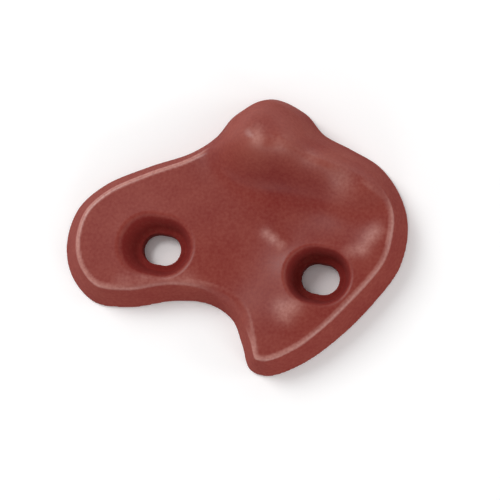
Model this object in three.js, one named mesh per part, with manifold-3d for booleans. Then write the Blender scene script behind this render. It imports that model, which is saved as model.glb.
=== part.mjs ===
// A climbing hold moulded in one piece of red plastic, lying on its back.
// The grip side faces up (+Z), the back that bears on the wall is the plane z = 0,
// X runs along the longest side and the origin is the middle of the back.
// Lengths are millimetres and angles are degrees.
import * as THREE from "three";
import { mergeVertices } from "three/addons/utils/BufferGeometryUtils.js";
import Module from "manifold-3d";

// Overall sizes of the body
const BODY_LENGTH = 128;
const BODY_WIDTH = 104;
const FACE_HEIGHT = 12;

// Side wall: its lean from upright, and the rounding where it meets the grip face
const WALL_LEAN = 22;
const LEFT_END_EXTRA_LEAN = 6;
const LEFT_END_REACH = 35;
const KNOB_LESS_LEAN = 8;
const KNOB_LEAN_REACH = 24;
const SHOULDER_RADIUS = 2.2;

// Knob and brow: a broad ridge that falls from the knob at the top to the right end
const KNOB_RISE = 14;
const KNOB_REACH = 16;
const BROW_RISE = 8;
const BROW_REACH = 13;
const BROW_END_RISE = 5;
const BROW_END_REACH = 12;

// Noses on the front of that ridge, and the shelf at the left foot of the knob
const KNOB_NOSE_RISE = 4;
const KNOB_NOSE_REACH = 8.5;
const BROW_NOSE_RISE = 2;
const BROW_NOSE_REACH = 9;
const SHELF_RISE = 3;
const SHELF_REACH = 8;

// Low swellings round the bolt holes, between them, at the right end and on the bottom lobe
const LEFT_SWELL_RISE = 1.2;
const LEFT_SWELL_REACH = 15;
const RIGHT_SWELL_RISE = 5;
const RIGHT_SWELL_REACH = 13;
const MIDDLE_SWELL_RISE = 1;
const MIDDLE_SWELL_REACH = 16;
const SIDE_SWELL_RISE = 2;
const SIDE_SWELL_REACH = 8;
const LOBE_SWELL_RISE = 1;
const LOBE_SWELL_REACH = 7;

// Hollows: the finger scoop under the ridge, and the dip above the notch
const SCOOP_DEPTH = 3;
const SCOOP_REACH = 15;
const NOTCH_DIP_DEPTH = 1.5;
const NOTCH_DIP_REACH = 12;

// Extra rounding of the shoulder
const KNOB_EXTRA_ROUND = 5;
const KNOB_ROUND_REACH = 22;
const BROW_EXTRA_ROUND = 7;
const BROW_ROUND_REACH = 19;
const END_EXTRA_ROUND = 5;
const END_ROUND_REACH = 15;
const LOBE_EXTRA_ROUND = 2.5;
const LOBE_ROUND_REACH = 17;
const NOTCH_EXTRA_ROUND = 5;
const NOTCH_ROUND_REACH = 12;

// Bolt holes: a bore, a flat seat for the bolt's head, and a tapered well up to the face.
// They are slots, longer along the line of the two bolts by SLOT_LENGTH.
const BOLT_SPACING = 59.9;
const BORE_WIDTH = 11.4;
const SEAT_WIDTH = 16;
const SEAT_HEIGHT = 5;
const MOUTH_WIDTH = 22.4;
const MOUTH_ROUNDING = 1.6;
const SLOT_LENGTH = 2.8;

// Hollow back: hexagonal cells between ribs, inside a rim wall and round the two bosses
const RIM_WALL = 5.5;
const SHELL_WALL = 4;
const CELL_ACROSS_FLATS = 10;
const RIB_THICKNESS = 2.4;
const BOSS_WALL = 3;
const CENTRE_CLEARANCE = 1;
const LEAST_CELL_DEPTH = 2.9;

// How finely the curved surfaces are divided
const RIM_STEPS = 104;
const RAY_STEPS = 22;
const RAY_SAMPLES = 240;
const RIM_SAMPLES = 720;
const HOLE_SIDES = 48;
const MOUTH_STEPS = 4;
const MOUTH_END_ANGLE = 65;
const INSET_STEPS = 52;
const BEND_WEIGHT = 9;
const OVERRUN = 2;
const VERTEX_MERGE = 0.0001;

const HALF_LENGTH = BODY_LENGTH / 2;
const HALF_WIDTH = BODY_WIDTH / 2;

// Outline of the back, anticlockwise from the right end, as shares of the half length and half width
const OUTLINE_SHARES = [
  [1.0, 0.04],
  [0.956, 0.275],
  [0.841, 0.483],
  [0.672, 0.619],
  [0.52, 0.727],
  [0.411, 0.885],
  [0.208, 1.0],
  [-0.003, 0.89],
  [-0.119, 0.731],
  [-0.262, 0.625],
  [-0.505, 0.535],
  [-0.772, 0.406],
  [-0.931, 0.235],
  [-0.998, -0.023],
  [-0.963, -0.26],
  [-0.827, -0.45],
  [-0.606, -0.492],
  [-0.35, -0.454],
  [-0.155, -0.483],
  [-0.023, -0.596],
  [0.034, -0.775],
  [0.081, -0.952],
  [0.191, -1.0],
  [0.394, -0.913],
  [0.605, -0.729],
  [0.806, -0.485],
  [0.95, -0.244],
];

// Places on the grip face, as shares of the half length and half width
const CENTRE_SHARES = [0.2, 0.05];
const HOLE_MIDDLE_SHARES = [0.0375, -0.207];
const HOLE_LINE_ANGLE = -11.7;
const KNOB_SHARES = [0.21, 0.69];
const BROW_SHARES = [0.49, 0.54];
const BROW_END_SHARES = [0.71, 0.37];
const KNOB_NOSE_SHARES = [0.19, 0.53];
const BROW_NOSE_SHARES = [0.45, 0.47];
const SHELF_SHARES = [0.03, 0.6];
const LEFT_SWELL_SHARES = [-0.41, -0.08];
const RIGHT_SWELL_SHARES = [0.48, -0.31];
const MIDDLE_SWELL_SHARES = [0.15, -0.1];
const SIDE_SWELL_SHARES = [0.8, -0.1];
const LOBE_SWELL_SHARES = [0.34, -0.57];
const SCOOP_SHARES = [0.43, 0.1];
const NOTCH_DIP_SHARES = [0.0, -0.38];
const KNOB_ROUND_SHARES = [0.2, 0.9];
const BROW_ROUND_SHARES = [0.5, 0.7];
const END_ROUND_SHARES = [0.78, 0.53];
const LOBE_ROUND_SHARES = [-0.45, -0.44];
const NOTCH_ROUND_SHARES = [-0.06, -0.56];
const LEFT_END_SHARES = [-1.0, 0.0];
const KNOB_TOP_SHARES = [0.21, 0.95];

// How the flank of a rise falls: a plain bell, or a flatter middle with a steeper edge
const BELL_POWER = 2;
const FLAT_POWER = 3;

function place([xShare, yShare]) {
  return new THREE.Vector2(xShare * HALF_LENGTH, yShare * HALF_WIDTH);
}

const centre = place(CENTRE_SHARES);
const holeMiddle = place(HOLE_MIDDLE_SHARES);
const holeLine = THREE.MathUtils.degToRad(HOLE_LINE_ANGLE);
const holeStep = new THREE.Vector2(Math.cos(holeLine), Math.sin(holeLine)).multiplyScalar(
  BOLT_SPACING / 2,
);
const leftHole = holeMiddle.clone().sub(holeStep);
const rightHole = holeMiddle.clone().add(holeStep);

// The outline as a smooth closed curve
const outlineCurve = new THREE.CatmullRomCurve3(
  OUTLINE_SHARES.map((shares) => {
    const p = place(shares);
    return new THREE.Vector3(p.x, p.y, 0);
  }),
  true,
  "centripetal",
);

function outlinePoints(count) {
  return outlineCurve
    .getSpacedPoints(count)
    .slice(0, count)
    .map((p) => new THREE.Vector2(p.x, p.y));
}

const fineRim = outlinePoints(RIM_SAMPLES);

// How far a point lies inside the outline, negative outside it
function rimInset(x, y) {
  let least = Infinity;
  let inside = false;
  for (let i = 0; i < fineRim.length; i++) {
    const a = fineRim[i];
    const b = fineRim[(i + 1) % fineRim.length];
    const dx = b.x - a.x;
    const dy = b.y - a.y;
    const along = ((x - a.x) * dx + (y - a.y) * dy) / (dx * dx + dy * dy);
    const t = THREE.MathUtils.clamp(along, 0, 1);
    least = Math.min(least, Math.hypot(x - a.x - t * dx, y - a.y - t * dy));
    if (a.y > y !== b.y > y && x < a.x + ((y - a.y) / dy) * dx) {
      inside = !inside;
    }
  }
  return inside ? least : -least;
}

// A soft rise or hollow round a place
function bump(x, y, [shares, size, reach, power]) {
  const c = place(shares);
  return size * Math.exp(-((Math.hypot(x - c.x, y - c.y) / reach) ** power));
}

const FACE_BUMPS = [
  [KNOB_SHARES, KNOB_RISE, KNOB_REACH, FLAT_POWER],
  [BROW_SHARES, BROW_RISE, BROW_REACH, FLAT_POWER],
  [BROW_END_SHARES, BROW_END_RISE, BROW_END_REACH, FLAT_POWER],
  [KNOB_NOSE_SHARES, KNOB_NOSE_RISE, KNOB_NOSE_REACH, BELL_POWER],
  [BROW_NOSE_SHARES, BROW_NOSE_RISE, BROW_NOSE_REACH, BELL_POWER],
  [SHELF_SHARES, SHELF_RISE, SHELF_REACH, BELL_POWER],
  [LEFT_SWELL_SHARES, LEFT_SWELL_RISE, LEFT_SWELL_REACH, BELL_POWER],
  [RIGHT_SWELL_SHARES, RIGHT_SWELL_RISE, RIGHT_SWELL_REACH, FLAT_POWER],
  [MIDDLE_SWELL_SHARES, MIDDLE_SWELL_RISE, MIDDLE_SWELL_REACH, BELL_POWER],
  [SIDE_SWELL_SHARES, SIDE_SWELL_RISE, SIDE_SWELL_REACH, BELL_POWER],
  [LOBE_SWELL_SHARES, LOBE_SWELL_RISE, LOBE_SWELL_REACH, BELL_POWER],
  [SCOOP_SHARES, -SCOOP_DEPTH, SCOOP_REACH, BELL_POWER],
  [NOTCH_DIP_SHARES, -NOTCH_DIP_DEPTH, NOTCH_DIP_REACH, BELL_POWER],
];

const ROUNDS = [
  [KNOB_ROUND_SHARES, KNOB_EXTRA_ROUND, KNOB_ROUND_REACH, FLAT_POWER],
  [BROW_ROUND_SHARES, BROW_EXTRA_ROUND, BROW_ROUND_REACH, FLAT_POWER],
  [END_ROUND_SHARES, END_EXTRA_ROUND, END_ROUND_REACH, BELL_POWER],
  [LOBE_ROUND_SHARES, LOBE_EXTRA_ROUND, LOBE_ROUND_REACH, BELL_POWER],
  [NOTCH_ROUND_SHARES, NOTCH_EXTRA_ROUND, NOTCH_ROUND_REACH, BELL_POWER],
];

const LEANS = [
  [LEFT_END_SHARES, LEFT_END_EXTRA_LEAN, LEFT_END_REACH, BELL_POWER],
  [KNOB_TOP_SHARES, -KNOB_LESS_LEAN, KNOB_LEAN_REACH, BELL_POWER],
];

// Height of the grip face over the back, as if it ran on past the side wall
function faceHeight(x, y) {
  return FACE_BUMPS.reduce((height, row) => height + bump(x, y, row), FACE_HEIGHT);
}

const knob = place(KNOB_SHARES);
const aboveAll = faceHeight(knob.x, knob.y) + OVERRUN;

// The side wall's lean at a place, in radians
function leanAt(x, y) {
  const degrees = LEANS.reduce((sum, row) => sum + bump(x, y, row), WALL_LEAN);
  return THREE.MathUtils.degToRad(degrees);
}

// Height of the outer surface at a point that lies `inset` inside the outline:
// the leaning wall, then an arc, then the grip face
function surfaceHeight(x, y, inset) {
  const lean = leanAt(x, y);
  const face = faceHeight(x, y);
  const radius = ROUNDS.reduce((sum, row) => sum + bump(x, y, row), SHOULDER_RADIUS);
  const arcHeight = face - radius;
  const arcEnd = (arcHeight * Math.sin(lean) + radius) / Math.cos(lean);
  const arcStart = arcEnd - radius * Math.cos(lean);
  if (inset >= arcEnd) {
    return face;
  }
  if (inset <= arcStart) {
    return inset / Math.tan(lean);
  }
  return arcHeight + Math.sqrt(radius * radius - (arcEnd - inset) ** 2);
}

// Points of the surface from a rim point to the centre, closer together where it bends
function rayPoints(rimPoint) {
  const samples = [];
  for (let i = 0; i <= RAY_SAMPLES; i++) {
    const p = rimPoint.clone().lerp(centre, i / RAY_SAMPLES);
    const height = i === 0 ? 0 : surfaceHeight(p.x, p.y, rimInset(p.x, p.y));
    samples.push(new THREE.Vector3(p.x, p.y, height));
  }
  const way = [0];
  for (let i = 1; i < samples.length; i++) {
    const step = samples[i].clone().sub(samples[i - 1]);
    let bend = 0;
    if (i > 1) {
      bend = step.angleTo(samples[i - 1].clone().sub(samples[i - 2]));
    }
    way.push(way[i - 1] + step.length() + BEND_WEIGHT * bend);
  }
  const points = [];
  for (let k = 0; k < RAY_STEPS; k++) {
    const wanted = (way[way.length - 1] * k) / RAY_STEPS;
    const i = Math.max(1, way.findIndex((w) => w >= wanted));
    const t = (wanted - way[i - 1]) / (way[i] - way[i - 1]);
    points.push(samples[i - 1].clone().lerp(samples[i], THREE.MathUtils.clamp(t, 0, 1)));
  }
  return points;
}

function geometryOf(points, triangles) {
  const geometry = new THREE.BufferGeometry();
  const flat = points.flatMap((p) => [p.x, p.y, p.z]);
  geometry.setAttribute("position", new THREE.Float32BufferAttribute(flat, 3));
  geometry.setIndex(triangles);
  return geometry;
}

// The outer form without holes: rings of points from the rim up to the centre, closed by the back
function outerForm() {
  const rays = outlinePoints(RIM_STEPS).map(rayPoints);
  const points = rays.flat();
  const top = points.length;
  const back = top + 1;
  points.push(new THREE.Vector3(centre.x, centre.y, faceHeight(centre.x, centre.y)));
  points.push(new THREE.Vector3(centre.x, centre.y, 0));
  const triangles = [];
  for (let i = 0; i < RIM_STEPS; i++) {
    const a = i * RAY_STEPS;
    const b = ((i + 1) % RIM_STEPS) * RAY_STEPS;
    for (let k = 0; k < RAY_STEPS - 1; k++) {
      triangles.push(a + k, b + k, b + k + 1);
      triangles.push(a + k, b + k + 1, a + k + 1);
    }
    triangles.push(a + RAY_STEPS - 1, b + RAY_STEPS - 1, top);
    triangles.push(b, a, back);
  }
  return geometryOf(points, triangles);
}

// Points of a slot of the given half width round a bolt hole
function slotPoints(hole, halfWidth) {
  const points = [];
  for (let i = 0; i < HOLE_SIDES; i++) {
    const angle = ((i + 0.5) / HOLE_SIDES) * 2 * Math.PI;
    const end = (Math.sign(Math.cos(angle)) * SLOT_LENGTH) / 2;
    const p = new THREE.Vector2(end + halfWidth * Math.cos(angle), halfWidth * Math.sin(angle));
    points.push(p.rotateAround(new THREE.Vector2(), holeLine).add(hole));
  }
  return points;
}

// Everything that one bolt hole takes away. The lower rings are level, and the upper ones
// follow the grip face, so that the mouth is rounded alike all round.
function holeForm(hole) {
  const endAngle = THREE.MathUtils.degToRad(MOUTH_END_ANGLE);
  const wellDepth = faceHeight(hole.x, hole.y) - SEAT_HEIGHT;
  const flare = (MOUTH_WIDTH - SEAT_WIDTH) / 2 / wellDepth;
  const neck = MOUTH_WIDTH / 2 - flare * MOUTH_ROUNDING;
  const rings = [
    { halfWidth: BORE_WIDTH / 2, level: -OVERRUN },
    { halfWidth: BORE_WIDTH / 2, level: SEAT_HEIGHT },
    { halfWidth: SEAT_WIDTH / 2, level: SEAT_HEIGHT },
  ];
  for (let k = 0; k <= MOUTH_STEPS; k++) {
    const angle = (endAngle * k) / MOUTH_STEPS;
    const halfWidth = neck + MOUTH_ROUNDING * (1 - Math.cos(angle));
    rings.push({ halfWidth, overFace: -MOUTH_ROUNDING * (1 - Math.sin(angle)) });
  }
  const last = rings[rings.length - 1];
  rings.push({
    halfWidth: last.halfWidth + OVERRUN * Math.sin(endAngle),
    overFace: last.overFace + OVERRUN * Math.cos(endAngle),
  });
  rings.push({ halfWidth: last.halfWidth + OVERRUN, level: aboveAll });

  const points = [];
  for (const { halfWidth, level, overFace } of rings) {
    for (const p of slotPoints(hole, halfWidth)) {
      const height = level === undefined ? faceHeight(p.x, p.y) + overFace : level;
      points.push(new THREE.Vector3(p.x, p.y, height));
    }
  }
  const bottom = points.length;
  const top = bottom + 1;
  points.push(new THREE.Vector3(hole.x, hole.y, rings[0].level));
  points.push(new THREE.Vector3(hole.x, hole.y, rings[rings.length - 1].level));
  const triangles = [];
  for (let i = 0; i < HOLE_SIDES; i++) {
    const next = (i + 1) % HOLE_SIDES;
    for (let k = 0; k < rings.length - 1; k++) {
      const a = k * HOLE_SIDES;
      const b = a + HOLE_SIDES;
      triangles.push(a + i, a + next, b + next);
      triangles.push(a + i, b + next, b + i);
    }
    const rim = (rings.length - 1) * HOLE_SIDES;
    triangles.push(next, i, bottom);
    triangles.push(rim + i, rim + next, top);
  }
  return geometryOf(points, triangles);
}

// An upright prism on a closed outline, given anticlockwise
function prism(outline, bottom, top) {
  const shape = new THREE.Shape(outline);
  const geometry = new THREE.ExtrudeGeometry(shape, { depth: top - bottom, bevelEnabled: false });
  geometry.translate(0, 0, bottom);
  return geometry;
}

// The boss round a bolt hole, which the hollow back leaves standing
function bossForm(hole) {
  return prism(slotPoints(hole, MOUTH_WIDTH / 2 + BOSS_WALL), -OVERRUN, aboveAll);
}

// The outline moved inwards by the rim wall, which bounds the hollow back
function insetOutline() {
  const inset = [];
  for (let i = 0; i < INSET_STEPS; i++) {
    const p = outlineCurve.getPointAt(i / INSET_STEPS);
    const along = outlineCurve.getTangentAt(i / INSET_STEPS);
    inset.push(new THREE.Vector2(p.x - RIM_WALL * along.y, p.y + RIM_WALL * along.x));
  }
  return inset;
}

// Highest point that a cell may reach at a place, clear of the side wall and the grip face
function cellCeiling(x, y) {
  const underWall = surfaceHeight(x, y, rimInset(x, y) - SHELL_WALL / Math.cos(leanAt(x, y)));
  const slopeX = (faceHeight(x + RIB_THICKNESS, y) - faceHeight(x, y)) / RIB_THICKNESS;
  const slopeY = (faceHeight(x, y + RIB_THICKNESS) - faceHeight(x, y)) / RIB_THICKNESS;
  const underFace = faceHeight(x, y) - SHELL_WALL * Math.hypot(1, slopeX, slopeY);
  return Math.max(Math.min(underWall, underFace), LEAST_CELL_DEPTH);
}

// One hexagonal cell, open at the back, whose ceiling follows the surface above it
function cellForm(x, y) {
  const reach = CELL_ACROSS_FLATS / Math.sqrt(3);
  const points = [];
  for (let i = 0; i < 6; i++) {
    const angle = (i * Math.PI) / 3;
    const px = x + reach * Math.cos(angle);
    const py = y + reach * Math.sin(angle);
    points.push(new THREE.Vector3(px, py, -OVERRUN));
    points.push(new THREE.Vector3(px, py, cellCeiling(px, py)));
  }
  const bottom = points.length;
  const top = bottom + 1;
  points.push(new THREE.Vector3(x, y, -OVERRUN));
  points.push(new THREE.Vector3(x, y, cellCeiling(x, y)));
  const triangles = [];
  for (let i = 0; i < 6; i++) {
    const a = 2 * i;
    const b = 2 * ((i + 1) % 6);
    triangles.push(a, b, b + 1);
    triangles.push(a, b + 1, a + 1);
    triangles.push(b, a, bottom);
    triangles.push(a + 1, b + 1, top);
  }
  return geometryOf(points, triangles);
}

const wasm = await Module();
wasm.setup();

// A geometry as a solid, with its doubled vertices merged and its collapsed faces left out
function solidOf(geometry) {
  geometry.deleteAttribute("normal");
  geometry.deleteAttribute("uv");
  const merged = mergeVertices(geometry, VERTEX_MERGE);
  const index = merged.index.array;
  const kept = [];
  for (let i = 0; i < index.length; i += 3) {
    const [a, b, c] = [index[i], index[i + 1], index[i + 2]];
    if (a !== b && b !== c && c !== a) {
      kept.push(a, b, c);
    }
  }
  const mesh = new wasm.Mesh({
    numProp: 3,
    vertProperties: new Float32Array(merged.attributes.position.array),
    triVerts: new Uint32Array(kept),
  });
  return new wasm.Manifold(mesh);
}

// How far a point lies inside the region of the cells, clear of the rim wall and the bosses
function roomForCell(x, y) {
  let room = rimInset(x, y) - RIM_WALL;
  for (const hole of [leftHole, rightHole]) {
    const p = new THREE.Vector2(x, y).sub(hole).rotateAround(new THREE.Vector2(), -holeLine);
    const reach = Math.hypot(Math.max(Math.abs(p.x) - SLOT_LENGTH / 2, 0), p.y);
    room = Math.min(room, reach - MOUTH_WIDTH / 2 - BOSS_WALL);
  }
  return room;
}

// All cells of the hollow back, clipped by the rim wall and the bosses
function hollowBack() {
  const bound = solidOf(prism(insetOutline(), -OVERRUN, aboveAll));
  const bosses = [leftHole, rightHole].map((hole) => solidOf(bossForm(hole)));
  const pitch = CELL_ACROSS_FLATS + RIB_THICKNESS;
  const rowStep = (pitch * Math.sqrt(3)) / 2;
  const cells = [];
  const columns = Math.ceil(HALF_LENGTH / rowStep);
  const rows = Math.ceil(HALF_WIDTH / pitch);
  for (let column = -columns; column <= columns; column++) {
    for (let row = -rows; row <= rows; row++) {
      const x = column * rowStep;
      const y = (row + (Math.abs(column) % 2) / 2) * pitch;
      if (roomForCell(x, y) <= CENTRE_CLEARANCE) {
        continue;
      }
      let cell = solidOf(cellForm(x, y)).intersect(bound);
      for (const boss of bosses) {
        cell = cell.subtract(boss);
      }
      cells.push(cell);
    }
  }
  return cells;
}

function bodyGeometry() {
  let body = solidOf(outerForm());
  for (const hole of [leftHole, rightHole]) {
    body = body.subtract(solidOf(holeForm(hole)));
  }
  for (const cell of hollowBack()) {
    body = body.subtract(cell);
  }
  const mesh = body.getMesh();
  const geometry = new THREE.BufferGeometry();
  geometry.setAttribute("position", new THREE.BufferAttribute(mesh.vertProperties, 3));
  geometry.setIndex(new THREE.BufferAttribute(mesh.triVerts, 1));
  geometry.computeVertexNormals();
  return geometry;
}

const body = new THREE.Mesh(
  bodyGeometry(),
  new THREE.MeshStandardMaterial({ color: 0x7f2721, roughness: 0.45, metalness: 0 }),
);
body.name = "hold_body";

const hold = new THREE.Group();
hold.name = "climbing_hold";
hold.add(body);

export default hold;
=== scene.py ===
# A climbing hold moulded in one piece of red plastic, with its fine surface and finish.
# Lengths are millimetres until a mesh, a lamp or the camera is made, and then metres.
import math
import bpy
import numpy as np
from mathutils import Matrix, Vector


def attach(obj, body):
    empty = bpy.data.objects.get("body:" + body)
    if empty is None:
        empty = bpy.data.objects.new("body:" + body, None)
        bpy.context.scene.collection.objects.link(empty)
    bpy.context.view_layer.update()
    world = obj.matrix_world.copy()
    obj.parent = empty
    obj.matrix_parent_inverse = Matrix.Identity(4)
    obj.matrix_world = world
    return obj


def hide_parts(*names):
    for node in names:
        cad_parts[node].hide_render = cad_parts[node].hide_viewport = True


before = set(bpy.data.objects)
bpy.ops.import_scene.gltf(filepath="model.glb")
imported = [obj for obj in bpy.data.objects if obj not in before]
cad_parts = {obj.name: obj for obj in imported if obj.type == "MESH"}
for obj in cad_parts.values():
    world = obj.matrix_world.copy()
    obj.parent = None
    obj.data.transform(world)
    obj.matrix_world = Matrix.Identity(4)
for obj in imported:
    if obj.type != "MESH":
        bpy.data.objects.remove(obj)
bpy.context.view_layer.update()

METRE = 0.001

# Overall sizes of the body
BODY_LENGTH = 128
BODY_WIDTH = 104
FACE_HEIGHT = 12

# Side wall: its lean from upright, and the rounding where it meets the grip face
WALL_LEAN = 22
SHOULDER_RADIUS = 2.2
BASE_ROUNDING = 0.8

# Bolt holes: bore, seat, tapered well and rounded mouth, slotted along the line of the bolts
BOLT_SPACING = 59.9
HOLE_LINE_ANGLE = -11.7
BORE_WIDTH = 11.4
SEAT_WIDTH = 16
SEAT_HEIGHT = 5
SEAT_ROUNDING = 0.8
LIP_ROUNDING = 0.5
MOUTH_WIDTH = 22.4
MOUTH_ROUNDING = 1.6
SLOT_LENGTH = 2.8
LEFT_MOUTH_STRETCH = 2.6

# Hollow back: hexagonal cells between ribs, inside a rim wall and round the two bosses
RIM_WALL = 5.5
SHELL_WALL = 4
CELL_ACROSS_FLATS = 10
CELL_ROUNDING = 0.9
RIB_THICKNESS = 2.4
BOSS_WALL = 3
CENTRE_CLEARANCE = 1

# Fine mesh: its spacing, its margin in steps, and the rounds that spread and draw its points
MESH_STEP = 0.66
NET_MARGIN_STEPS = 2.3
RELAX_ROUNDS = 3
RELAX_SHARE = 0.5
DRAWING_ROUNDS = 2
SLOPE_STEP = 0.05
LEAST_SLOPE = 0.2

# Points of the outline, and the table of insets with the softening deep inside it
CURVE_STEPS = 60
RIM_SAMPLES = 1440
POINTS_AT_ONCE = 4000
TABLE_STEP = 0.5
TABLE_MARGIN = 4
SOFTENING_ROUNDS = 40
SOFTENED_FROM = 4
SOFTENED_FULLY = 8

# Rubbing by hands, with painted sheen on proud places and painted shade in hollows: its plain share,
# what a proud place adds, and how far round that is felt
PROBES = 8
RUBBED_SHEEN_AND_SHADE_BASE = 0.5
RUBBING_SHEEN_AND_SHADE = 0.25
RUBBING_SHEEN_AND_SHADE_REACH = 5
# Polish of edges with a painted highlight on them: how proud they stand where it starts and is full,
# and how it falls on slopes
EDGE_REACH = 1.0
EDGE_START = 0.035
EDGE_FULL = 0.13
EDGE_SLOPE_POWER = 3
# Broad shoulders have no polish and no painted highlight: it fades between these multiples of the
# plain radius
BROAD_START = 2.2
BROAD_FULL = 3.5
# Upward shares of the normal between which a wall turns into a face, for gloss and the painted
# highlight spots
WALL_GLOSS = 0.3
FACE_GLOSS = 0.9
WALL_HIGHLIGHT_SPOTS = 0.5
FACE_HIGHLIGHT_SPOTS = 0.9
SHELTER_DEPTH = 2

HALF_LENGTH = BODY_LENGTH / 2
HALF_WIDTH = BODY_WIDTH / 2

# Outline of the back, anticlockwise from the right end, as shares of half the length and width
OUTLINE_SHARES = [
    (1.0, 0.04), (0.956, 0.275), (0.841, 0.483), (0.672, 0.619), (0.52, 0.727), (0.411, 0.885),
    (0.208, 1.0), (-0.003, 0.89), (-0.119, 0.731), (-0.262, 0.625), (-0.505, 0.535), (-0.772, 0.406),
    (-0.931, 0.235), (-0.998, -0.023), (-0.963, -0.26), (-0.827, -0.45), (-0.606, -0.492),
    (-0.35, -0.454), (-0.155, -0.483), (-0.023, -0.596), (0.034, -0.775), (0.081, -0.952),
    (0.191, -1.0), (0.394, -0.913), (0.605, -0.729), (0.806, -0.485), (0.95, -0.244),
]
HOLE_MIDDLE_SHARES = (0.0375, -0.207)

# Rises and hollows that add up on the grip face: place in shares, height, reach, steepness
BUMPS = [
    ((0.21, 0.69), 14, 16, 3),
    ((0.2, 0.53), 3.6, 8.5, 2),
    ((0.03, 0.6), 3, 8, 2),
    ((0.15, 0.7), 0.8, 5, 2),
    ((0.15, 0.57), 0.8, 5, 2),
    ((0.49, 0.54), 8, 13, 3),
    ((0.45, 0.47), 2, 9, 2),
    ((0.52, 0.46), 1, 5, 2),
    ((0.71, 0.37), 5, 12, 3),
    ((-0.41, -0.08), 0.8, 15, 2),
    ((0.48, -0.31), 4.2, 14, 2),
    ((0.22, -0.02), 0.4, 3.5, 2),
    ((0.27, -0.08), 0.6, 3.5, 2),
    ((0.86, -0.04), 1, 6, 2),
    ((0.78, -0.17), 1, 6, 2),
    ((0.43, 0.1), -2, 15, 2),
    ((0.36, -0.6), 1.2, 7, 2),
    ((0.0, -0.38), -1.5, 12, 2),
]
# Spots painted pale as highlights and made glossier, in the same form
HIGHLIGHT_AND_POLISH_SPOTS = [
    ((0.184, 0.65), 0.4, 2.5, 2),
    ((0.184, 0.58), 0.8, 2.5, 2),
    ((0.31, 0.54), 0.4, 3, 2),
    ((0.48, 0.46), 0.35, 3.5, 2),
    ((0.64, 0.32), 0.45, 5, 2),
    ((0.2, -0.015), 0.6, 1.7, 2),
    ((0.24, -0.055), 0.8, 1.7, 2),
    ((0.285, -0.105), 0.7, 1.7, 2),
    ((0.83, -0.02), 0.6, 2.5, 2),
    ((0.79, -0.075), 0.6, 2.5, 2),
    ((0.75, -0.15), 0.7, 2.5, 2),
    ((0.68, -0.16), 0.4, 2.5, 2),
    ((0.28, -0.54), 0.5, 3, 2),
    ((0.36, -0.54), 0.6, 3, 2),
    ((0.31, -0.61), 0.5, 3, 2),
    ((-0.62, -0.35), 0.35, 3.5, 2),
    ((-0.5, -0.34), 0.35, 3.5, 2),
    ((-0.38, -0.34), 0.4, 3.5, 2),
    ((-0.26, -0.35), 0.4, 3.5, 2),
]
# Extra lean of the side wall in degrees, at the left end and the knob, in the same form
LEANS = [
    ((-1.0, 0.0), 6, 35, 2),
    ((0.21, 0.95), -8, 24, 2),
]
# Extra rounding of the shoulder, in the same form
ROUNDS = [
    ((0.2, 0.9), 5, 22, 3),
    ((0.5, 0.7), 7, 19, 3),
    ((0.78, 0.53), 5, 15, 2),
    ((-0.45, -0.44), 1.2, 17, 2),
    ((-0.04, -0.56), 5.5, 11, 2),
]


def place(shares):
    return np.array([shares[0] * HALF_LENGTH, shares[1] * HALF_WIDTH])


def smooth_step(value, low, high):
    share = np.clip((value - low) / (high - low), 0, 1)
    return share * share * (3 - 2 * share)


def closed_curve(points, steps):
    """Points on the centripetal Catmull-Rom spline that closes through the given ones."""
    before, after, beyond = (np.roll(points, shift, axis=0) for shift in (1, -1, -2))
    gap = np.sqrt(np.linalg.norm(after - points, axis=1))[:, None]
    gap_before, gap_after = np.roll(gap, 1, axis=0), np.roll(gap, -1, axis=0)
    chord = (after - points) / gap
    leave = gap * ((points - before) / gap_before - (after - before) / (gap_before + gap) + chord)
    arrive = gap * (chord - (beyond - points) / (gap + gap_after) + (beyond - after) / gap_after)
    bend = 3 * (after - points) - 2 * leave - arrive
    twist = 2 * (points - after) + leave + arrive
    t = np.linspace(0, 1, steps, endpoint=False)[None, :, None]
    rows = [part[:, None] for part in (points, leave, bend, twist)]
    return (rows[0] + t * (rows[1] + t * (rows[2] + t * rows[3]))).reshape(-1, 2)


def evenly_spaced(curve, count):
    closed = np.vstack([curve, curve[:1]])
    way = np.concatenate([[0], np.cumsum(np.linalg.norm(np.diff(closed, axis=0), axis=1))])
    wanted = np.linspace(0, way[-1], count, endpoint=False)
    return np.stack([np.interp(wanted, way, closed[:, axis]) for axis in (0, 1)], -1)


outline_points = np.array([place(shares) for shares in OUTLINE_SHARES])
rim = evenly_spaced(closed_curve(outline_points, CURVE_STEPS), RIM_SAMPLES)


def measured_inset(x, y):
    """How far points lie inside the outline, negative outside it."""
    ends = np.roll(rim, -1, axis=0)
    along = ends - rim
    length_squared = (along * along).sum(1)
    result = np.empty(x.size)
    points = np.stack([x.ravel(), y.ravel()], -1)
    for start in range(0, len(points), POINTS_AT_ONCE):
        p = points[start : start + POINTS_AT_ONCE, None]
        t = np.clip(((p - rim) * along).sum(-1) / length_squared, 0, 1)
        away = rim + t[..., None] * along - p
        least = np.sqrt((away * away).sum(-1).min(1))
        spans = (rim[:, 1] > p[..., 1]) != (ends[:, 1] > p[..., 1])
        rise = np.where(along[:, 1] == 0, 1, along[:, 1])
        left_of = p[..., 0] < rim[:, 0] + (p[..., 1] - rim[:, 1]) * along[:, 0] / rise
        inside = (spans & left_of).sum(1) % 2 == 1
        result[start : start + POINTS_AT_ONCE] = np.where(inside, least, -least)
    return result.reshape(x.shape)


table_x = np.arange(-HALF_LENGTH - TABLE_MARGIN, HALF_LENGTH + TABLE_MARGIN, TABLE_STEP)
table_y = np.arange(-HALF_WIDTH - TABLE_MARGIN, HALF_WIDTH + TABLE_MARGIN, TABLE_STEP)
inset_table = measured_inset(*np.meshgrid(table_x, table_y, indexing="ij"))


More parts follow.
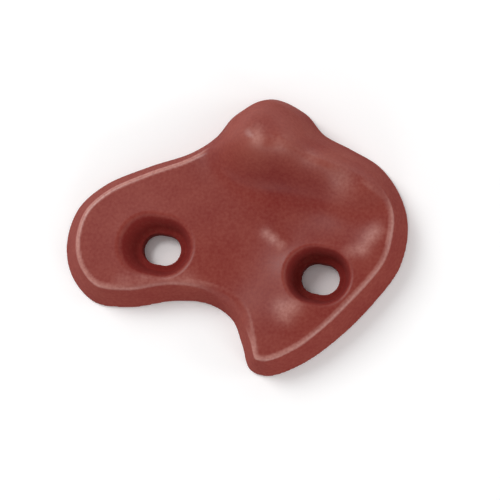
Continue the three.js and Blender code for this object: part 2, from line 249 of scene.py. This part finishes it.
def softened(table):
    """The table of insets without the creases of its middle lines, deep inside the outline."""
    soft = table
    for _ in range(SOFTENING_ROUNDS):
        for axis in (0, 1):
            soft = (np.roll(soft, 1, axis) + 2 * soft + np.roll(soft, -1, axis)) / 4
    return table + smooth_step(table, SOFTENED_FROM, SOFTENED_FULLY) * (soft - table)


inset_table = softened(inset_table)


def cubic_weights(t):
    """Weights of four neighbours in a row, for a smooth curve through them."""
    return (
        t * (-0.5 + t * (1 - 0.5 * t)),
        1 + t * t * (1.5 * t - 2.5),
        t * (0.5 + t * (2 - 1.5 * t)),
        t * t * (0.5 * t - 0.5),
    )


def rim_inset(x, y):
    """The inset at any point, read smoothly from the table."""
    u = np.clip((x - table_x[0]) / TABLE_STEP, 1, len(table_x) - 3)
    v = np.clip((y - table_y[0]) / TABLE_STEP, 1, len(table_y) - 3)
    i, j = u.astype(int), v.astype(int)
    across, up = cubic_weights(u - i), cubic_weights(v - j)
    total = 0
    for a in range(4):
        for b in range(4):
            total = total + across[a] * up[b] * inset_table[i + a - 1, j + b - 1]
    return total


def bump(x, y, row):
    """A soft rise or hollow, whose flank is steeper and top flatter with a higher power."""
    shares, size, reach, power = row
    centre = place(shares)
    return size * np.exp(-((np.hypot(x - centre[0], y - centre[1]) / reach) ** power))


def bumps(x, y, rows):
    return sum(bump(x, y, row) for row in rows)


def face_height(x, y):
    """Height of the grip face over the back, as if it ran on past the side wall."""
    return FACE_HEIGHT + bumps(x, y, BUMPS)


def shoulder_radius(x, y):
    return SHOULDER_RADIUS + bumps(x, y, ROUNDS)


def surface_height(x, y):
    """Height of the outer surface: the leaning wall, then an arc, then the grip face."""
    inset = rim_inset(x, y)
    lean = np.radians(WALL_LEAN + bumps(x, y, LEANS))
    face = face_height(x, y)
    radius = shoulder_radius(x, y)
    arc_height = face - radius
    arc_end = (arc_height * np.sin(lean) + radius) / np.cos(lean)
    arc_start = arc_end - radius * np.cos(lean)
    arc = arc_height + np.sqrt(np.maximum(radius**2 - (arc_end - inset) ** 2, 0))
    wall = inset / np.tan(lean)
    return np.where(inset >= arc_end, face, np.where(inset <= arc_start, wall, arc))


def stands_proud(height, x, y, reach):
    """How far a surface stands above its mean at some reach all round, negative in a hollow."""
    turns = [2 * math.pi * turn / PROBES for turn in range(PROBES)]
    ring = sum(height(x + reach * math.cos(t), y + reach * math.sin(t)) for t in turns)
    return height(x, y) - ring / PROBES


def wear_and_steepness(points, normals):
    """Shares from 0 to 1: rubbing by hands with painted sheen on proud places and painted shade in
    hollows and sheltered places, polish of edges with a painted highlight, and steep or sheltered
    places.
    """
    x, y, z = points.T
    plan = plan_of(x, y)
    depth = (plan["height"] - z) / plan["steepness"]
    open_share = smooth_step(-depth, -SHELTER_DEPTH, 0)
    upward = normals[:, 2]
    # Paler on proud places as painted sheen, darker in hollows as painted shade, besides the rubbing
    rubbed_sheen_and_shade = RUBBED_SHEEN_AND_SHADE_BASE + RUBBING_SHEEN_AND_SHADE * stands_proud(face_height, x, y, RUBBING_SHEEN_AND_SHADE_REACH)
    # Spots painted pale as highlights, which are also glossier
    highlight_and_polish_share = bumps(x, y, HIGHLIGHT_AND_POLISH_SPOTS) * smooth_step(upward, WALL_HIGHLIGHT_SPOTS, FACE_HIGHLIGHT_SPOTS)
    # Proud edges get polish and a painted highlight
    proud = stands_proud(surface_height, x, y, EDGE_REACH) * np.abs(upward) ** EDGE_SLOPE_POWER
    edge = smooth_step(proud, EDGE_START, EDGE_FULL)
    broad = (BROAD_START * SHOULDER_RADIUS, BROAD_FULL * SHOULDER_RADIUS)
    edge = edge * (1 - smooth_step(shoulder_radius(x, y), *broad))
    edge = np.clip(np.maximum(edge, highlight_and_polish_share), 0, 1)
    steep = 1 - smooth_step(upward, WALL_GLOSS, FACE_GLOSS) * open_share
    # Wells and cells keep the fresh red with no edge: partly unrubbed plastic, partly painted shade
    return np.clip(rubbed_sheen_and_shade, 0, 1) * open_share, edge * open_share, steep


def round_max(a, b, radius):
    """What two solids share, with the edge between them rounded."""
    corner = np.hypot(np.maximum(a + radius, 0), np.maximum(b + radius, 0))
    return np.minimum(np.maximum(a, b), -radius) + corner


def round_min(a, b, radius):
    return -round_max(-a, -b, radius)


hole_line = math.radians(HOLE_LINE_ANGLE)
line_way = np.array([math.cos(hole_line), math.sin(hole_line)])
HOLES = [place(HOLE_MIDDLE_SHARES) + side * BOLT_SPACING / 2 * line_way for side in (-1, 1)]
MOUTH_STRETCHES = (LEFT_MOUTH_STRETCH, 0)


def slot_reach(x, y, hole, stretch=0):
    """How far points lie from the middle line of a bolt slot, which may be stretched leftwards."""
    along = (x - hole[0]) * line_way[0] + (y - hole[1]) * line_way[1]
    across = (y - hole[1]) * line_way[0] - (x - hole[0]) * line_way[1]
    right = np.maximum(along - SLOT_LENGTH / 2, 0)
    left = np.maximum(-along - SLOT_LENGTH / 2 - stretch, 0)
    return np.hypot(right + left, across)


def cell_centres():
    """Centres of the cells that lie well inside the rim wall and outside the bosses."""
    pitch = CELL_ACROSS_FLATS + RIB_THICKNESS
    row_step = pitch * math.sqrt(3) / 2
    columns, rows = math.ceil(HALF_LENGTH / row_step), math.ceil(HALF_WIDTH / pitch)
    kept = []
    for column in range(-columns, columns + 1):
        for row in range(-rows, rows + 1):
            x, y = column * row_step, (row + column % 2 / 2) * pitch
            room = rim_inset(np.array([x]), np.array([y]))[0] - RIM_WALL
            for hole in HOLES:
                room = min(room, slot_reach(x, y, hole) - MOUTH_WIDTH / 2 - BOSS_WALL)
            if room > CENTRE_CLEARANCE:
                kept.append((x, y))
    return np.array(kept)


CELLS = cell_centres()


def cell_plan(x, y, inset, reaches):
    """Distance to the side walls of the nearest cell, negative inside it."""
    nearest = np.full(x.shape, np.inf)
    dx, dy = np.zeros(x.shape), np.zeros(x.shape)
    for centre in CELLS:
        away = np.hypot(x - centre[0], y - centre[1])
        closer = away < nearest
        nearest = np.where(closer, away, nearest)
        dx = np.where(closer, x - centre[0], dx)
        dy = np.where(closer, y - centre[1], dy)
    sides = 0
    for turn in range(3):
        angle = math.pi / 6 + turn * math.pi / 3
        side = np.abs(dx * math.cos(angle) + dy * math.sin(angle)) - CELL_ACROSS_FLATS / 2
        sides = sides + np.maximum(side + CELL_ROUNDING, 0) ** 2
    plan = np.sqrt(sides) - CELL_ROUNDING
    plan = round_max(plan, RIM_WALL - inset, CELL_ROUNDING)
    for reach in reaches:
        plan = round_max(plan, MOUTH_WIDTH / 2 + BOSS_WALL - reach, CELL_ROUNDING)
    return plan


def plan_of(x, y):
    """All that the body's distance needs to know of the places seen from above."""
    height = surface_height(x, y)
    slope_x = (surface_height(x + SLOPE_STEP, y) - height) / SLOPE_STEP
    slope_y = (surface_height(x, y + SLOPE_STEP) - height) / SLOPE_STEP
    reaches = [slot_reach(x, y, hole) for hole in HOLES]
    mouths = [slot_reach(x, y, hole, stretch) for hole, stretch in zip(HOLES, MOUTH_STRETCHES)]
    return {
        "height": height,
        "steepness": np.sqrt(1 + slope_x**2 + slope_y**2),
        "reaches": reaches,
        "mouths": mouths,
        "cells": cell_plan(x, y, rim_inset(x, y), reaches),
    }


def hole_distance(z, hole, reach, mouth):
    """Distance to the wall of one bolt hole, negative inside the hole."""
    mouth_height = face_height(*hole)
    rise_share = (z - SEAT_HEIGHT) / (mouth_height - SEAT_HEIGHT)
    well_width = (SEAT_WIDTH + (MOUTH_WIDTH - SEAT_WIDTH) * rise_share) / 2
    well = reach + (mouth - reach) * rise_share - well_width
    well = round_max(well, SEAT_HEIGHT - z, SEAT_ROUNDING)
    return round_min(well, reach - BORE_WIDTH / 2, LIP_ROUNDING)


def body_distance(plan, z):
    """About how far a point lies outside the body, negative inside it."""
    outer = (z - plan["height"]) / plan["steepness"]
    body = outer
    for hole, reach, mouth in zip(HOLES, plan["reaches"], plan["mouths"]):
        body = round_max(body, -hole_distance(z, hole, reach, mouth), MOUTH_ROUNDING)
    cell = round_max(plan["cells"], outer + SHELL_WALL, CELL_ROUNDING)
    return round_max(np.maximum(body, -cell), -z, BASE_ROUNDING)


def distance_and_slope(points):
    """The body's distance at points, and its rate of change along each axis."""
    x, y, z = points.T
    plan = plan_of(x, y)
    here = body_distance(plan, z)
    slope = np.stack([
        body_distance(plan_of(x + SLOPE_STEP, y), z) - here,
        body_distance(plan_of(x, y + SLOPE_STEP), z) - here,
        body_distance(plan, z + SLOPE_STEP) - here,
    ], -1)
    return here, slope / SLOPE_STEP


def plan_top():
    """The greatest height of the grip face inside the outline."""
    x, y = np.meshgrid(table_x, table_y, indexing="ij")
    return face_height(x, y)[inset_table > 0].max()


def surface_net():
    """Points and four-sided faces of a closed net near the body's surface."""
    margin = NET_MARGIN_STEPS * MESH_STEP
    top = plan_top() + margin
    axes = [
        np.arange(-HALF_LENGTH - margin, HALF_LENGTH + margin + MESH_STEP, MESH_STEP),
        np.arange(-HALF_WIDTH - margin, HALF_WIDTH + margin + MESH_STEP, MESH_STEP),
        np.arange(-margin, top + margin + MESH_STEP, MESH_STEP),
    ]
    plan = plan_of(*np.meshgrid(axes[0], axes[1], indexing="ij"))
    field = np.stack([body_distance(plan, np.float64(z)) for z in axes[2]], -1)
    inside = field < 0
    total = np.zeros(field.shape + (3,))
    count = np.zeros(field.shape)
    crossings = []
    lattice = np.indices(field.shape)
    for axis in range(3):
        low = tuple(slice(0, -1) if a == axis else slice(None) for a in range(3))
        high = tuple(slice(1, None) if a == axis else slice(None) for a in range(3))
        index = np.argwhere(inside[low] != inside[high])
        i, j, k = index.T
        step = np.zeros(3, int)
        step[axis] = 1
        here, there = field[i, j, k], field[i + step[0], j + step[1], k + step[2]]
        spot = index + (here / (here - there))[:, None] * step
        b, c = (axis + 1) % 3, (axis + 2) % 3
        ring = []
        for shift_b, shift_c in ((-1, -1), (0, -1), (0, 0), (-1, 0)):
            cell = index.copy()
            cell[:, b] += shift_b
            cell[:, c] += shift_c
            np.add.at(total, tuple(cell.T), spot)
            np.add.at(count, tuple(cell.T), 1)
            ring.append(np.ravel_multi_index(tuple(cell.T), field.shape))
        ring = np.stack(ring, -1)
        leaving = here < 0
        crossings.append(np.where(leaving[:, None], ring, ring[:, ::-1]))
    used = np.flatnonzero(count.ravel())
    points = total.reshape(-1, 3)[used] / count.ravel()[used][:, None]
    number = np.zeros(field.size, int)
    number[used] = np.arange(len(used))
    points = points * MESH_STEP + np.array([axis[0] for axis in axes])
    return points, number[np.concatenate(crossings)]


def settled(points, faces):
    """The net's points spread evenly and drawn onto the surface, with the surface's normals."""
    starts = faces.ravel()
    ends = np.roll(faces, -1, axis=1).ravel()
    neighbours = np.bincount(starts, minlength=len(points))
    for _ in range(RELAX_ROUNDS):
        mean = np.stack([
            np.bincount(starts, weights=points[ends, axis], minlength=len(points)) / neighbours
            for axis in range(3)
        ], -1)
        points = points + RELAX_SHARE * (mean - points)
        for _ in range(DRAWING_ROUNDS):
            away, slope = distance_and_slope(points)
            size = np.maximum(np.linalg.norm(slope, axis=1), LEAST_SLOPE)
            step = np.clip(away / size, -MESH_STEP / 2, MESH_STEP / 2)
            points = points - (step / size)[:, None] * slope
    slope = distance_and_slope(points)[1]
    return points, slope / np.maximum(np.linalg.norm(slope, axis=1), LEAST_SLOPE)[:, None]


def linear(rgb):
    """A colour given in eight-bit sRGB, as the shader wants it."""
    shares = [value / 255 for value in rgb]
    return tuple(s / 12.92 if s <= 0.04045 else ((s + 0.055) / 1.055) ** 2.4 for s in shares)


def new_material(name):
    material = bpy.data.materials.new(name)
    material.use_nodes = True
    return material, material.node_tree.nodes, material.node_tree.links


def new_object(name, data):
    made = bpy.data.objects.new(name, data)
    bpy.context.scene.collection.objects.link(made)
    return made


# The plastic's colours in eight-bit sRGB, with painted shade in the fresh red, painted sheen in the
# rubbed red and a painted highlight in the edge red, and its roughness on faces, on steep walls and
# on edges
FRESH_AND_SHADED_RED = (118, 26, 20)
RUBBED_AND_SHEEN_RED = (142, 65, 53)
EDGE_POLISH_AND_HIGHLIGHT_RED = (184, 127, 117)
PLASTIC_IOR = 1.4
FACE_ROUGHNESS = (0.38, 0.46)
STEEP_ROUGHNESS = 0.9
EDGE_ROUGHNESS = 0.28

# Noises as scale and detail, the part of their range that counts, and what they do
BLOTCHES = (90, 3)
SPECKLE = (900, 2)
GRAIN = (2600, 3)
NOISE_RANGE = (0.3, 0.7)
BLOTCH_SHARE = 0.15
SPECKLE_SHARE = 0.2
POLISH_AND_HIGHLIGHT_LEFT = (0.6, 1)
GRAIN_STRENGTH = 0.5
GRAIN_HEIGHT = 0.05


def hold_plastic():
    """Brick-red moulded plastic: fine even grain, faint mottling and a soft sheen, with painted
    shade in hollows, painted sheen on proud places and a painted highlight on edges and spots.
    """
    material, nodes, links = new_material("hold_plastic")
    shader = nodes["Principled BSDF"]
    shader.inputs["IOR"].default_value = PLASTIC_IOR
    spot = nodes.new("ShaderNodeTexCoord").outputs["Object"]

    def noise(scale, detail):
        node = nodes.new("ShaderNodeTexNoise")
        node.inputs["Scale"].default_value = scale
        node.inputs["Detail"].default_value = detail
        links.new(spot, node.inputs["Vector"])
        return node.outputs["Fac"]

    def spread(value, low, high):
        node = nodes.new("ShaderNodeMapRange")
        node.inputs["From Min"].default_value = NOISE_RANGE[0]
        node.inputs["From Max"].default_value = NOISE_RANGE[1]
        node.inputs["To Min"].default_value = low
        node.inputs["To Max"].default_value = high
        links.new(value, node.inputs["Value"])
        return node.outputs["Result"]

    def share(name):
        node = nodes.new("ShaderNodeAttribute")
        node.attribute_name = name
        return node.outputs["Fac"]

    def math_of(operation, first, second):
        node = nodes.new("ShaderNodeMath")
        node.operation = operation
        links.new(first, node.inputs[0])
        links.new(second, node.inputs[1])
        return node.outputs[0]

    def mixed(kind, factor, first, second):
        node = nodes.new("ShaderNodeMix")
        node.data_type = kind
        ends = [s for s in node.inputs if s.name in ("A", "B") and s.enabled]
        for socket, value in zip(ends, (first, second)):
            if isinstance(value, bpy.types.NodeSocket):
                links.new(value, socket)
            else:
                socket.default_value = value
        links.new(factor, node.inputs["Factor"])
        return next(s for s in node.outputs if s.enabled)

    blotches, speckle, grain = (noise(*row) for row in (BLOTCHES, SPECKLE, GRAIN))
    mottling = spread(blotches, -BLOTCH_SHARE, BLOTCH_SHARE)
    patches = math_of("ADD", mottling, spread(speckle, -SPECKLE_SHARE, SPECKLE_SHARE))
    # Rubbing share with painted sheen on proud places and painted shade in hollows, mottled by noise
    rubbed_sheen_and_shade = math_of("ADD", share("rubbed_sheen_and_shade"), patches)
    # Edge share, polish with a painted highlight, broken up by speckle
    edge = math_of("MULTIPLY", share("edge"), spread(speckle, *POLISH_AND_HIGHLIGHT_LEFT))
    colour = mixed("RGBA", rubbed_sheen_and_shade, (*linear(FRESH_AND_SHADED_RED), 1), (*linear(RUBBED_AND_SHEEN_RED), 1))
    colour = mixed("RGBA", edge, colour, (*linear(EDGE_POLISH_AND_HIGHLIGHT_RED), 1))
    links.new(colour, shader.inputs["Base Color"])
    rough = mixed("FLOAT", share("steep"), spread(speckle, *FACE_ROUGHNESS), STEEP_ROUGHNESS)
    rough = mixed("FLOAT", edge, rough, EDGE_ROUGHNESS)
    links.new(rough, shader.inputs["Roughness"])
    bump_node = nodes.new("ShaderNodeBump")
    bump_node.inputs["Strength"].default_value = GRAIN_STRENGTH
    bump_node.inputs["Distance"].default_value = GRAIN_HEIGHT * METRE
    links.new(grain, bump_node.inputs["Height"])
    links.new(bump_node.outputs["Normal"], shader.inputs["Normal"])
    return material


def hold_body():
    """The whole hold as one smooth surface, with its wear, painted sheen, painted shade and painted
    highlights kept at the surface's points.
    """
    points, faces = surface_net()
    points, normals = settled(points, faces)
    mesh = bpy.data.meshes.new("hold_surface")
    mesh.from_pydata((points * METRE).tolist(), [], faces.tolist())
    mesh.update()
    mesh.polygons.foreach_set("use_smooth", [True] * len(faces))
    mesh.normals_split_custom_set_from_vertices(normals.tolist())
    shares = wear_and_steepness(points, normals)
    for name, values in zip(("rubbed_sheen_and_shade", "edge", "steep"), shares):
        mesh.attributes.new(name, "FLOAT", "POINT").data.foreach_set("value", values)
    body = new_object("hold_surface", mesh)
    mesh.materials.append(hold_plastic())
    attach(body, "root")
    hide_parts("hold_body")


# Camera: high above the hold, a little to the right of it and below it in the picture
VIEW_WAY = (-0.13, 0.17)
VIEW_TARGET = (5.25, -4.78, 0)
VIEW_DISTANCE = 900
PIXEL_AT_TARGET = 0.369
IMAGE_PIXELS = 500
SENSOR = 36
NEAREST_SEEN = 10


def make_camera():
    way = Vector((*VIEW_WAY, -math.sqrt(1 - VIEW_WAY[0] ** 2 - VIEW_WAY[1] ** 2)))
    right = way.cross(Vector((0, 1, 0))).normalized()
    up = right.cross(way)
    turn = Matrix((right, up, -way)).transposed()
    camera = new_object("camera", bpy.data.cameras.new("camera"))
    spot = (Vector(VIEW_TARGET) - way * VIEW_DISTANCE) * METRE
    camera.matrix_world = Matrix.Translation(spot) @ turn.to_4x4()
    camera.data.sensor_width = SENSOR
    camera.data.lens = SENSOR * VIEW_DISTANCE / (PIXEL_AT_TARGET * IMAGE_PIXELS)
    camera.data.clip_start = NEAREST_SEEN * METRE
    bpy.context.scene.camera = camera


# Floor: half its side in metres, how far it lies under the hold, and its colours
FLOOR_HALF_SIDE = 3.0
FLOOR_GAP = 0.05
FLOOR_SEEN = (1, 0.995, 0.995, 1)
FLOOR_LIFT = (0.06, 0.06, 0.06, 1)
FLOOR_LIGHTING = (0.8, 0.8, 0.8, 1)


def make_floor():
    """A floor that the camera and gloss see as white, with the hold's shadow on it."""
    side = FLOOR_HALF_SIDE
    mesh = bpy.data.meshes.new("floor")
    corners = [(-side, -side, 0), (side, -side, 0), (side, side, 0), (-side, side, 0)]
    mesh.from_pydata(corners, [], [(0, 1, 2, 3)])
    floor = new_object("floor", mesh)
    floor.location.z = -FLOOR_GAP * METRE
    material, nodes, links = new_material("floor")
    nodes.clear()

    def diffuse(colour):
        node = nodes.new("ShaderNodeBsdfDiffuse")
        node.inputs["Color"].default_value = colour
        return node.outputs[0]

    out = nodes.new("ShaderNodeOutputMaterial")
    both = nodes.new("ShaderNodeAddShader")
    mix = nodes.new("ShaderNodeMixShader")
    path = nodes.new("ShaderNodeLightPath")
    links.new(diffuse(FLOOR_SEEN), both.inputs[0])
    links.new(diffuse(FLOOR_LIFT), both.inputs[1])
    seen_by = path.outputs["Is Camera Ray"]
    for kind in ("Is Glossy Ray", "Is Transmission Ray"):
        either = nodes.new("ShaderNodeMath")
        either.operation = "MAXIMUM"
        links.new(seen_by, either.inputs[0])
        links.new(path.outputs[kind], either.inputs[1])
        seen_by = either.outputs[0]
    links.new(seen_by, mix.inputs[0])
    links.new(diffuse(FLOOR_LIGHTING), mix.inputs[1])
    links.new(both.outputs[0], mix.inputs[2])
    links.new(mix.outputs[0], out.inputs[0])
    mesh.materials.append(material)


# Key lamp as azimuth, elevation, width in metres and watts, and a low ring as azimuth and watts
KEY_LAMP = (140, 43, 0.5, 6.2)
RING_ELEVATION = 16
RING_WIDTH = 0.4
RING_LAMPS = [(180, 0.5), (225, 0.9), (270, 1.6), (315, 2.0), (0, 1.8), (50, 1.1), (90, 0.6)]
LAMP_DISTANCE = 1.0
WORLD_STRENGTH = 0.4


def make_lights():
    ring = [(azimuth, RING_ELEVATION, RING_WIDTH, watts) for azimuth, watts in RING_LAMPS]
    for azimuth, elevation, width, watts in [KEY_LAMP] + ring:
        a, e = math.radians(azimuth), math.radians(elevation)
        lamp = bpy.data.lights.new("lamp", "AREA")
        lamp.energy = watts
        lamp.size = width
        holder = new_object("lamp", lamp)
        way = Vector((math.cos(a) * math.cos(e), math.sin(a) * math.cos(e), math.sin(e)))
        holder.location = way * LAMP_DISTANCE
        holder.rotation_euler = (-way).to_track_quat("-Z", "Y").to_euler()
    world = bpy.data.worlds.new("world")
    bpy.context.scene.world = world
    world.use_nodes = True
    background = world.node_tree.nodes["Background"]
    background.inputs["Color"].default_value = (1, 1, 1, 1)
    background.inputs["Strength"].default_value = WORLD_STRENGTH


make_camera()
hold_body()
make_floor()
make_lights()
bpy.context.scene.view_settings.view_transform = "Standard"
